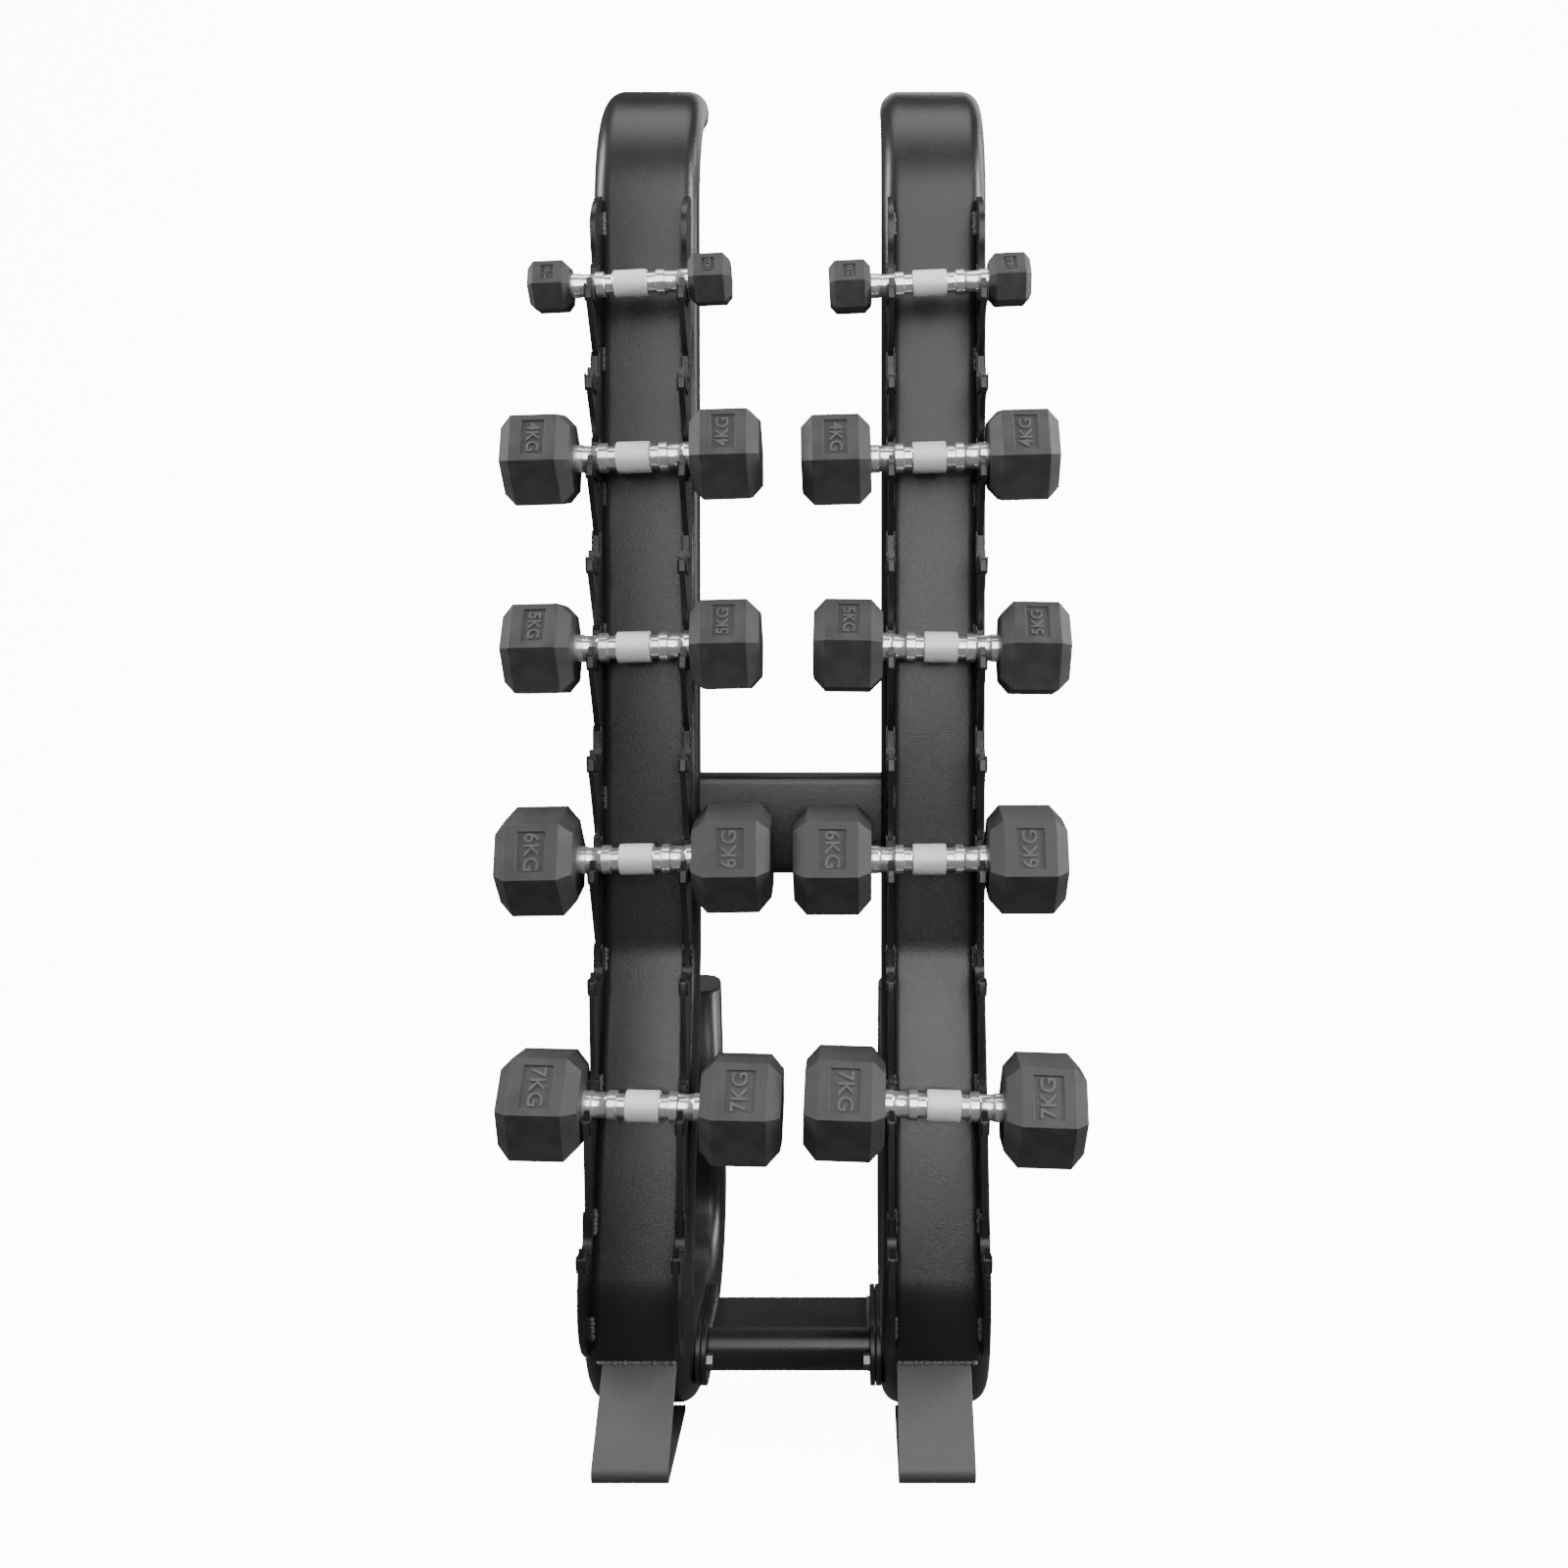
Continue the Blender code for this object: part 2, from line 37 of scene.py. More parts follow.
BASE_BEND_RADIUS, LEAN_DEG = 0.105, 15
FRONT_REACH, REAR_REACH, REAR_LEG_LENGTH = 0.078, 0.262, 0.209
PLATE_THICKNESS, PLATE_OFFSET = 0.005, 0.0409
TOP_SADDLE_Z = 1.0435
SADDLE_PITCHES = (0.079, 0.0775, 0.0845, 0.086, 0.092, 0.100, 0.100, 0.1165, 0.1105)
SLOT_RADIUS, SLOT_REAR_RISE, PRONG_WIDTH, PRONG_DROP = 0.0145, 0.013, 0.0045, 0.010
PRONG_REACH, PRONG_REACH_LOSS, SLOT_FROM_PRONG = 0.0585, 0.001, 0.016
UPPER_CROSS_DEPTH, UPPER_CROSS_Y, UPPER_CROSS_CORNER = 0.023, 0.0077, 0.011
CROSS_WIDTH, UPPER_CROSS_Z, LOWER_CROSS = 0.096, 0.551, (-0.003, 0.067)
FLANGE_LENGTH, FLANGE_HEIGHT, FLANGE_THICKNESS = 0.130, 0.060, 0.005
FOOT_WIDTH, FOOT_PLATE, FOOT_NOSE_Y, FOOT_NOSE_RADIUS = 0.066, 0.006, -0.150, 0.010
FOOT_INSET = 0.003
FOOT_TOP_Z, FOOT_RETURN_Y = 0.079, -0.018
HANDLE_GAP = 0.105
# TILT_RISE is the share of a tilted handle's drop at a plate that the handle is raised by
SEAT_RADIUS, COLLAR_RADIUS, TILT_RISE = 0.0120, 0.0113, 0.4
HEAD_CHAMFER_RATIO = 0.115
# Length, width across the head's corners, thickness of the handle against a full-size one
DUMBBELL_SIZES = {
    1: (0.180, 0.049, 0.85),
    4: (0.229, 0.0918, 1.0),
    5: (0.229, 0.0918, 1.0),
    6: (0.245, 0.1010, 1.0),
    7: (0.2475, 0.1030, 1.0),
}
# Shift along X, saddle counted from the top, roll of the label face above the horizon, tilt
PLACES = {
    "left": {
        1: (-0.0060, 0, 24.5, 2.7),
        4: (-0.0040, 2, 22.0, 1.8),
        5: (-0.0045, 4, 31.0, 1.4),
        6: (-0.0030, 6, 17.0, 1.0),
        7: (0.0065, 8, 35.0, -1.4),
    },
    "right": {
        1: (-0.0065, 0, 30.0, 2.6),
        4: (-0.0065, 2, 22.0, 1.5),
        5: (0.0040, 4, 35.5, -0.8),
        6: (-0.0060, 6, 19.0, 0.3),
        7: (0.0055, 8, 29.0, -2.0),
    },
}
SIDES = {"left": -1, "right": 1}
GAP = 0.0003

# Finer details, in metres and degrees
LABEL_FACE_DEG = 30
LABEL_CORNER, LABEL_BOX_THICKNESS = 0.0012, 0.0030
# The figures' heights are shares of the label's width
FIGURE_HEIGHT, SMALL_FIGURE_HEIGHT = 0.74, 0.62
FIGURE_RAISE, FIGURE_FATTENING, FIGURE_SINK = 0.0009, 0.0002, 0.0012
HEAD_ROUND, SMALL_HEAD_ROUND = 0.0016, 0.0010
LABELS = {
    1: (0.0115, 0.0145),
    4: (0.021, 0.034),
    5: (0.020, 0.034),
    6: (0.025, 0.036),
    7: (0.026, 0.038),
}
GRIP_HALF, GRIP_RADIUS = 0.0150, 0.0141
GRIP_CHAMFER, GRIP_CHAMFER_LENGTH = 0.0006, 0.0008
# One end of the handle's shaft as (distance from the middle, radius), from the grip outwards
SHAFT_STEPS = (
    (0.0150, 0.0112),
    (0.0158, 0.0107),
    (0.0226, 0.0107),
    (0.0232, 0.0113),
    (0.0236, 0.0134),
    (0.0307, 0.0134),
    (0.0312, 0.0124),
    (0.0330, 0.0116),
    (0.0400, 0.0114),
    (0.0440, 0.0118),
    (0.0455, 0.0126),
    (0.0520, 0.0128),
)
SHAFT_START, SHAFT_INSERT, SHAFT_END_RADIUS = 0.0146, 0.006, 0.0124
PLATE_WELD_HEIGHTS = (1.108, 0.983, 0.858, 0.728, 0.577, 0.427, 0.315, 0.202, 0.112)
PLATE_WELD_HALF, PLATE_WELD_RADIUS, FOOT_WELD_RADIUS = 0.009, 0.0022, 0.0030
LINER_INNER, LINER_OUTER, LINER_REAR_TOP = 0.0119, 0.0144, 0.0155
CHANNEL_WIDTH, CHEEK_THICKNESS, CHEEK_OFFSET = 0.0074, 0.0014, 0.0009
RIVET_RADIUS, RIVET_OFFSET, RIVET_FLATNESS = 0.0022, 0.0015, 0.4
SHARP_TUBE_DEG, SHARP_LATHE_DEG, BEVEL_DEG = 40, 25, 30
# The part of a noise's range that colour and roughness spread over
CLOUD_LOW, CLOUD_HIGH = 0.3, 0.7

# Name, place, aim, size and power in watts
LIGHTS = (
    ("front_softbox", (0.42, -2.6, 1.90), (0.0, 0.0, 0.85), (2.4, 2.4), 60),
    ("low_front_strip", (0.2, -2.4, 0.85), (0.0, 0.0, 0.35), (0.9, 0.3), 5),
    ("overhead_softbox", (0.0, -0.2, 3.0), (0.0, 0.0, 0.7), (1.6, 1.2), 14),
    ("rear_softbox", (0.5, 1.3, 2.1), (0.0, 0.0, 0.9), (1.6, 0.7), 4),
    ("left_strip", (-1.8, -0.3, 1.8), (0.0, 0.0, 1.1), (0.5, 1.6), 52),
    ("right_rear_strip", (1.7, 0.6, 1.6), (0.0, 0.0, 1.0), (0.4, 1.8), 18),
    ("right_front_strip", (2.0, -0.6, 1.5), (0.0, 0.0, 0.9), (0.5, 1.8), 66),
)
WORLD_LIGHT, SHEET_GLOW = 0.13, 12.0
CAMERA_PLACE, CAMERA_DOWN_DEG = (0.063, -1.386, 0.690), 1.1
SENSOR_WIDTH, FOCAL_LENGTH, LENS_SHIFT = 36.0, 33.75, (-0.0469, -0.0508)

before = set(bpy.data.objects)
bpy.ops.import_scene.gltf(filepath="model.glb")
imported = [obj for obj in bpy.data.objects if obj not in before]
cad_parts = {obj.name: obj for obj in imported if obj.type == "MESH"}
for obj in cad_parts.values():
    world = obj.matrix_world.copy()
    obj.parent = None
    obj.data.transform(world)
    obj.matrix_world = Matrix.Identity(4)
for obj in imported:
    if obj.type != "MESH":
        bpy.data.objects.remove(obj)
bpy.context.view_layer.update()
tube_low, tube_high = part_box("left_column_tube")
ORIGIN = Vector((
    (tube_low.x + tube_high.x) / 2 + COLUMN_SPACING / 2,
    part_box("left_front_foot")[0].y - FOOT_NOSE_Y,
    0,
))
YZ_PLANE = Matrix(((0, 0, 1, 0), (1, 0, 0, 0), (0, 1, 0, 0), (0, 0, 0, 1)))


# ---------------------------------------------------------------- materials


def new_material(name, colour, roughness, metallic=0.0):
    material = bpy.data.materials.new(name)
    material.use_nodes = True
    shader = material.node_tree.nodes["Principled BSDF"]
    shader.inputs["Base Color"].default_value = (*colour, 1)
    shader.inputs["Roughness"].default_value = roughness
    shader.inputs["Metallic"].default_value = metallic
    return material, material.node_tree.nodes, material.node_tree.links, shader


def add_noise(nodes, links, scale, detail=3.0, stretch=None):
    coordinates = nodes.new("ShaderNodeTexCoord")
    noise = nodes.new("ShaderNodeTexNoise")
    noise.inputs["Scale"].default_value = scale
    noise.inputs["Detail"].default_value = detail
    if stretch is None:
        links.new(coordinates.outputs["Object"], noise.inputs["Vector"])
        return noise
    mapping = nodes.new("ShaderNodeMapping")
    mapping.inputs["Scale"].default_value = stretch
    links.new(coordinates.outputs["Object"], mapping.inputs["Vector"])
    links.new(mapping.outputs["Vector"], noise.inputs["Vector"])
    return noise


def add_ramp(nodes, links, source, low, high):
    ramp = nodes.new("ShaderNodeMapRange")
    ramp.interpolation_type = "SMOOTHSTEP"
    ramp.inputs["From Min"].default_value = CLOUD_LOW
    ramp.inputs["From Max"].default_value = CLOUD_HIGH
    ramp.inputs["To Min"].default_value = low
    ramp.inputs["To Max"].default_value = high
    links.new(source, ramp.inputs["Value"])
    return ramp.outputs["Result"]


def add_colour_ramp(nodes, links, source, dark, light):
    ramp = nodes.new("ShaderNodeValToRGB")
    ramp.color_ramp.interpolation = "EASE"
    ramp.color_ramp.elements[0].position = CLOUD_LOW
    ramp.color_ramp.elements[0].color = (*dark, 1)
    ramp.color_ramp.elements[1].position = CLOUD_HIGH
    ramp.color_ramp.elements[1].color = (*light, 1)
    links.new(source, ramp.inputs["Fac"])
    return ramp.outputs["Color"]


def add_bump(nodes, links, shader, height, strength, distance):
    bump = nodes.new("ShaderNodeBump")
    bump.inputs["Strength"].default_value = strength
    bump.inputs["Distance"].default_value = distance
    links.new(height, bump.inputs["Height"])
    links.new(bump.outputs["Normal"], shader.inputs["Normal"])


def coated_metal(name, dark, light, roughness):
    """Powder coat or moulded plastic: an orange-peel bump, with a cloudy colour and roughness."""
    material, nodes, links, shader = new_material(name, dark, roughness[0])
    cloud = add_noise(nodes, links, 9.0, 2.0, (1.0, 1.0, 0.45))
    links.new(add_colour_ramp(nodes, links, cloud.outputs["Fac"], dark, light), shader.inputs["Base Color"])
    links.new(add_ramp(nodes, links, cloud.outputs["Fac"], *roughness), shader.inputs["Roughness"])
    grain = add_noise(nodes, links, 800.0, 2.0)
    add_bump(nodes, links, shader, grain.outputs["Fac"], 0.45, 0.0004)
    return material


def rubber_material(name, dark, light):
    """Matt rubber with a fine grain, rubbed paler in small clouds."""
    material, nodes, links, shader = new_material(name, dark, 0.62)
    cloud = add_noise(nodes, links, 40.0, 6.0)
    colour = add_colour_ramp(nodes, links, cloud.outputs["Fac"], dark, light)
    links.new(colour, shader.inputs["Base Color"])
    links.new(add_ramp(nodes, links, cloud.outputs["Fac"], 0.50, 0.66), shader.inputs["Roughness"])
    grain = add_noise(nodes, links, 1100.0, 3.0)
    add_bump(nodes, links, shader, grain.outputs["Fac"], 0.5, 0.0004)
    return material


def polished_chrome():
    material, nodes, links, shader = new_material("polished_chrome", (0.99, 0.99, 0.99), 0.1, 0.85)
    smudge = add_noise(nodes, links, 70.0, 4.0)
    links.new(add_ramp(nodes, links, smudge.outputs["Fac"], 0.14, 0.24), shader.inputs["Roughness"])
    return material


def knurled_chrome():
    """Chrome whose bump is the lower of two waves, which spiral round X both ways and cross in diamonds."""
    waves_around, waves_along = 36.0, 3300.0
    material, nodes, links, shader = new_material("knurled_chrome", (0.99, 0.99, 0.99), 0.40, 0.25)
    coordinates = nodes.new("ShaderNodeTexCoord")
    split = nodes.new("ShaderNodeSeparateXYZ")
    links.new(coordinates.outputs["Object"], split.inputs["Vector"])
    turn = nodes.new("ShaderNodeMath")
    turn.operation = "ARCTAN2"
    links.new(split.outputs["Z"], turn.inputs[0])
    links.new(split.outputs["Y"], turn.inputs[1])
    heights = []
    for sign in (1, -1):
        around = nodes.new("ShaderNodeMath")
        around.operation = "MULTIPLY"
        around.inputs[1].default_value = waves_around
        links.new(turn.outputs[0], around.inputs[0])
        along = nodes.new("ShaderNodeMath")
        along.operation = "MULTIPLY_ADD"
        along.inputs[1].default_value = sign * waves_along
        links.new(split.outputs["X"], along.inputs[0])
        links.new(around.outputs[0], along.inputs[2])
        wave = nodes.new("ShaderNodeMath")
        wave.operation = "SINE"
        links.new(along.outputs[0], wave.inputs[0])
        heights.append(wave.outputs[0])
    lower = nodes.new("ShaderNodeMath")
    lower.operation = "MINIMUM"
    links.new(heights[0], lower.inputs[0])
    links.new(heights[1], lower.inputs[1])
    add_bump(nodes, links, shader, lower.outputs[0], 0.30, 0.0004)
    return material


COAT = coated_metal("satin_powder_coat", (0.009, 0.009, 0.009), (0.022, 0.022, 0.022), (0.25, 0.33))
# The feet get a lighter copy of the frame's black coat: painted light standing in for the light their
# upward slope catches.
FOOT_COAT_PAINTED_LIGHTER = coated_metal("foot_coat_painted_lighter", (0.045, 0.045, 0.045), (0.075, 0.075, 0.075), (0.42, 0.55))
WELD = coated_metal("coated_weld", (0.06, 0.06, 0.06), (0.16, 0.16, 0.16), (0.35, 0.6))
LINER = coated_metal("liner_plastic", (0.008, 0.008, 0.008), (0.013, 0.013, 0.013), (0.3, 0.42))
CAP = coated_metal("cap_plastic", (0.015, 0.015, 0.015), (0.025, 0.025, 0.025), (0.4, 0.5))
RUBBER = rubber_material("moulded_rubber", (0.036, 0.036, 0.036), (0.054, 0.054, 0.054))
# The raised figures get a paler copy of the head's rubber: a painted highlight standing in for the light
# caught by their edges.
FIGURE_RUBBER_PAINTED_LIGHT = rubber_material("figure_rubber_painted_light", (0.070, 0.070, 0.070), (0.105, 0.105, 0.105))
CHROME = polished_chrome()
KNURL = knurled_chrome()
ZINC = new_material("zinc_plate", (0.22, 0.22, 0.22), 0.42, 1.0)[0]


# ---------------------------------------------------------------- outlines, as in the CAD but finer


def arc(centre, radius, start_deg, end_deg, step_deg=4):
    """Points on an arc, both ends included."""
    steps = max(1, math.ceil(abs(end_deg - start_deg) / step_deg))
    angles = [math.radians(start_deg + (end_deg - start_deg) * i / steps) for i in range(steps + 1)]
    return [(centre[0] + radius * math.cos(a), centre[1] + radius * math.sin(a)) for a in angles]


def rounded_rectangle(width, height, radius, steps=8):
    inner_x, inner_y = width / 2 - radius, height / 2 - radius
    outline = []
    for sign_x, sign_y, start in ((1, 1, 0), (-1, 1, 90), (-1, -1, 180), (1, -1, 270)):
        outline += arc((sign_x * inner_x, sign_y * inner_y), radius, start, start + 90, 90 / steps)
    return outline


def column_stations(shift=0.0):
    """The tube's path in (y, z) from its top end to its rear end, moved outward by shift."""
    lean = math.radians(LEAN_DEG)
    base_z = BASE_BEND_RADIUS + TUBE_DEPTH / 2
    rear_centre = (REAR_REACH - BASE_BEND_RADIUS, base_z)
    sagitta = BASE_BEND_RADIUS * (1 - math.cos(lean))
    knee_z = base_z + 2 * BASE_BEND_RADIUS * math.sin(lean) + (FRONT_REACH - 2 * sagitta) / math.tan(lean)
    foot = arc(rear_centre, BASE_BEND_RADIUS + shift, LEAN_DEG, LEAN_DEG)[0]
    end = (foot[0] - REAR_LEG_LENGTH * math.sin(lean), foot[1] + REAR_LEG_LENGTH * math.cos(lean))
    points = arc((TOP_BEND_RADIUS, TOP_BEND_CENTRE_Z), TOP_BEND_RADIUS + shift, 180 - TOP_BEND_DEG, 180)
    points += arc((-BASE_BEND_RADIUS, knee_z), BASE_BEND_RADIUS - shift, 0, -LEAN_DEG)
    points += arc((BASE_BEND_RADIUS - FRONT_REACH, base_z), BASE_BEND_RADIUS + shift, 180 - LEAN_DEG, 270)
    points += arc(rear_centre, BASE_BEND_RADIUS + shift, -90, LEAN_DEG)
    return points + [end]


def centre_line_y(z):
    """The y of the path's front stretch at height z."""
    points = column_stations()
    for (y0, z0), (y1, z1) in zip(points, points[1:]):
        if z1 <= z <= z0:
            return y0 + (y1 - y0) * (z0 - z) / (z0 - z1)
    raise ValueError(z)


def saddle_centres():
    """The ten slots' centres in (y, z), from the top down."""
    centres = []
    z = TOP_SADDLE_Z
    for level, pitch in enumerate((0.0, *SADDLE_PITCHES)):
        z -= pitch
        reach = PRONG_REACH - PRONG_REACH_LOSS * (level + 1)
        centres.append((centre_line_y(z) - TUBE_DEPTH / 2 - reach + SLOT_FROM_PRONG, z))
    return centres


SADDLES = saddle_centres()


def hook_plate_outline():
    """The side plate in (y, z): a rounded head, ten U slots with a front prong each, and a rounded tail."""
    top_y, top_z = SADDLES[0]
    outline = [
        (-0.0245, top_z + 0.088),
        (top_y + 0.024, top_z + 0.082),
        (top_y + 0.010, top_z + 0.071),
        (top_y + 0.002, top_z + 0.059),
        (top_y + 0.001, top_z + 0.047),
        (top_y + 0.005, top_z + 0.033),
    ]
    for y, z in SADDLES:
        outline.append((y + SLOT_RADIUS, z + SLOT_REAR_RISE))
        outline += arc((y, z), SLOT_RADIUS, 0, -180, 12)
        prong_y = y - SLOT_RADIUS - PRONG_WIDTH / 2
        outline += arc((prong_y, z - PRONG_DROP), PRONG_WIDTH / 2, 20, 180, 20)
        outline.append((prong_y - PRONG_WIDTH / 2 - 0.001, z - PRONG_DROP - 0.009))
    tail_y, tail_z = SADDLES[-1]
    tail_y -= SLOT_RADIUS + PRONG_WIDTH
    outline += [
        (tail_y - 0.004, tail_z - 0.035),
        (tail_y - 0.004, tail_z - 0.060),
        (tail_y + 0.002, tail_z - 0.080),
        (tail_y + 0.014, tail_z - 0.096),
        (tail_y + 0.032, tail_z - 0.108),
    ]
    across = PLATE_OFFSET - PLATE_THICKNESS / 2 - TUBE_WIDTH / 2 + TUBE_CORNER
    corner_drop = TUBE_CORNER - math.sqrt(TUBE_CORNER**2 - across**2)
    back = column_stations(TUBE_DEPTH / 2 - corner_drop)
    lowest, highest = outline[-1][1], outline[0][1]
    edge = [(y, z) for y, z in back if lowest < z < highest and y < 0.03]
    return outline + [(y, z) for y, z in reversed(edge)]


# ---------------------------------------------------------------- building


def finished_mesh(name, shape):
    """A mesh made from shape, with its normals recalculated. It frees shape."""
    mesh = bpy.data.meshes.new(name)
    bmesh.ops.recalc_face_normals(shape, faces=shape.faces)
    shape.to_mesh(mesh)
    shape.free()
    return mesh


def add_mesh(name, shape, material, matrix=None):
    return add_object(name, finished_mesh(name, shape), material, matrix)


def add_object(name, mesh, material, matrix=None):
    obj = bpy.data.objects.new(name, mesh)
    bpy.context.scene.collection.objects.link(obj)
    if material is not None:
        mesh.materials.clear()
        mesh.materials.append(material)
    obj.matrix_world = Matrix.Translation(ORIGIN) @ (matrix or Matrix.Identity(4))
    return obj


def soften(obj, width, segments=2):
    """A small round on every sharp edge."""
    bevel = obj.modifiers.new("soft_edges", "BEVEL")
    bevel.width = width
    bevel.segments = segments
    bevel.limit_method = "ANGLE"
    bevel.angle_limit = math.radians(BEVEL_DEG)
    bevel.harden_normals = True
    obj.data.shade_smooth()


def extruded(shape, outline, thickness, matrix):
    """Adds to shape a flat outline in (x, y) with its thickness about its own plane."""
    low = [shape.verts.new(matrix @ Vector((x, y, -thickness / 2))) for x, y in outline]
    face = shape.faces.new(low)
    made = bmesh.ops.extrude_face_region(shape, geom=[face], use_keep_orig=True)["geom"]
    moved = [g for g in made if isinstance(g, bmesh.types.BMVert)]
    across = matrix.to_3x3() @ Vector((0, 0, thickness))
    bmesh.ops.translate(shape, verts=moved, vec=across)


def bar_from_outline(name, outline, thickness, material, matrix):
    shape = bmesh.new()
    extruded(shape, outline, thickness, Matrix.Identity(4))
    return add_mesh(name, shape, material, matrix)


def curve_to_mesh(obj):
    """The mesh of a curve or text object, which is deleted."""
    bpy.context.view_layer.update()
    mesh = bpy.data.meshes.new_from_object(obj.evaluated_get(bpy.context.evaluated_depsgraph_get()))
    bpy.data.objects.remove(obj, do_unlink=True)
    return mesh


def swept_tube(name, section, stations, material, matrix):
    """A hollow tube whose section follows a path in the (y, z) plane."""
    ring = bpy.data.curves.new("ring", "CURVE")
    ring.dimensions = "2D"
    spline = ring.splines.new("POLY")
    spline.points.add(len(section) - 1)
    for point, (x, y) in zip(spline.points, section):
        point.co = (x, y, 0, 1)
    spline.use_cyclic_u = True
    ring_object = bpy.data.objects.new("ring", ring)
    bpy.context.scene.collection.objects.link(ring_object)
    path = bpy.data.curves.new(name, "CURVE")
    path.dimensions = "3D"
    path.bevel_mode = "OBJECT"
    path.bevel_object = ring_object
    spline = path.splines.new("POLY")
    spline.points.add(len(stations) - 1)
    for point, (y, z) in zip(spline.points, stations):
        point.co = (0, y, z, 1)
    obj = bpy.data.objects.new(name, path)
    bpy.context.scene.collection.objects.link(obj)
    mesh = curve_to_mesh(obj)
    bpy.data.objects.remove(ring_object, do_unlink=True)
    # The sweep leaves its faces looking inward
    mesh.flip_normals()
    tube = add_object(name, mesh, material, matrix)
    wall = tube.modifiers.new("wall", "SOLIDIFY")
    wall.thickness = TUBE_WALL
    wall.offset = -1
    mesh.shade_smooth()
    mesh.set_sharp_from_angle(angle=math.radians(SHARP_TUBE_DEG))
    return tube


def column(side):
    """One bent tube and its two hook plates."""
    x = SIDES[side] * COLUMN_SPACING / 2
    section = rounded_rectangle(TUBE_WIDTH, TUBE_DEPTH, TUBE_CORNER)
    tube = swept_tube(f"{side}_bent_tube", section, column_stations(), COAT, Matrix.Translation((x, 0, 0)))
    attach(tube, "rack")
    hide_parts(f"{side}_column_tube")
    outline = hook_plate_outline()
    for label, sign in SIDES.items():
        place = Matrix.Translation((x + sign * PLATE_OFFSET, 0, 0)) @ YZ_PLANE
        name = f"{side}_column_{label}_hook_plate"
        plate = bar_from_outline(f"{name}_fine", outline, PLATE_THICKNESS, COAT, place)
        soften(plate, 0.0007)
        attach(plate, "rack")
        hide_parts(name)


def liner_mesh():
    """A U-shaped liner: the channel that lines the slot, a cheek on each side of the plate, and rivets."""
    inner, outer, rear_top = LINER_INNER, LINER_OUTER, LINER_REAR_TOP
    channel = [(outer, rear_top), *arc((0, 0), outer, 0, -150, 12)]
    channel += [*arc((0, 0), inner, -150, 0, 12), (inner, rear_top)]
    cheek = [(inner, rear_top), (inner + 0.001, rear_top + 0.004), (inner + 0.004, rear_top + 0.005)]
    cheek += [(0.0205, rear_top), (0.0215, 0.006), *arc((0.0005, -0.001), 0.0205, -10, -125, 12)]
    cheek += [(-0.0165, -0.0215), (-0.0195, -0.0165), *arc((-0.0176, -0.0092), 0.0034, 190, 10, 6)]
    cheek += arc((0, 0), inner, -145, 0, 12)
    shape = bmesh.new()
    extruded(shape, channel, CHANNEL_WIDTH, YZ_PLANE)
    half = PLATE_THICKNESS / 2
    flat = Matrix.Diagonal((RIVET_FLATNESS, 1, 1, 1))
    for sign in (-1, 1):
        cheek_place = Matrix.Translation((sign * (half + CHEEK_OFFSET), 0, 0))
        extruded(shape, cheek, CHEEK_THICKNESS, cheek_place @ YZ_PLANE)
        for y, z in ((0.0168, 0.0085), (0.009, -0.0145)):
            place = Matrix.Translation((sign * (half + RIVET_OFFSET), y, z)) @ flat
            bmesh.ops.create_uvsphere(shape, u_segments=12, v_segments=8, radius=RIVET_RADIUS, matrix=place)
    return finished_mesh("saddle_liner", shape)


def liners():
    """A liner in every slot of the four plates."""
    mesh = liner_mesh()
    for side, column_sign in SIDES.items():
        for label, sign in SIDES.items():
            x = column_sign * COLUMN_SPACING / 2 + sign * PLATE_OFFSET
            for level, (y, z) in enumerate(SADDLES):
                place = Matrix.Translation((x, y, z))
                liner = add_object(f"{side}_{label}_liner_{level + 1}", mesh, LINER, place)
                soften(liner, 0.0005)
                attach(liner, "rack")


def weld_mesh(length, radius, seed):
    """A row of overlapping rounded ripples along X, each a little different."""
    shape = bmesh.new()
    count = max(3, round(length / (radius * 0.75)))
    for i in range(count):
        wobble = math.sin(seed * 7.3 + i * 2.9)
        x = -length / 2 + length * i / (count - 1)
        size = radius * (1 + 0.22 * wobble)
        offset = Vector((x, 0.25 * radius * math.sin(seed * 3.1 + i * 1.7), 0))
        place = Matrix.Translation(offset) @ Matrix.Diagonal((1.0, 1.0, 0.75, 1.0))
        bmesh.ops.create_icosphere(shape, subdivisions=2, radius=size, matrix=place)
    mesh = bpy.data.meshes.new("weld")
    shape.to_mesh(mesh)
    shape.free()
    mesh.shade_smooth()
    return mesh


def weld(name, start, end, radius, seed):
    start, end = Vector(start), Vector(end)
    along = end - start
    turn = along.to_track_quat("X", "Z").to_matrix().to_4x4()
    place = Matrix.Translation((start + end) / 2) @ turn
    obj = add_object(name, weld_mesh(along.length, radius, seed), WELD, place)
    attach(obj, "rack")


def plate_weld_end(x, z):
    """A point just inside the tube's front face, a little deeper where the top bend begins."""
    inset = 0.0013 if z > TOP_BEND_CENTRE_Z - 0.02 else 0.0005
    return (x, centre_line_y(z) - TUBE_DEPTH / 2 + inset, z)


def welds():
    """Short beads inside each plate, and one across the top of each foot."""
    seed = 1
    for side, column_sign in SIDES.items():
        x = column_sign * COLUMN_SPACING / 2
        for label, sign in SIDES.items():
            edge = x + sign * (PLATE_OFFSET - PLATE_THICKNESS / 2 - 0.0008)
            for number, z in enumerate(PLATE_WELD_HEIGHTS):
                seed += 1
                ends = [plate_weld_end(edge, z + end * PLATE_WELD_HALF) for end in (-1, 1)]
                weld(f"{side}_{label}_plate_weld_{number + 1}", *ends, PLATE_WELD_RADIUS, seed)
        top_y, top_z = foot_outline()[0]
        ends = [(x + end * FOOT_WIDTH / 2, top_y + 0.001, top_z) for end in (-1, 1)]
        weld(f"{side}_foot_weld", *ends, FOOT_WELD_RADIUS, seed + 40)


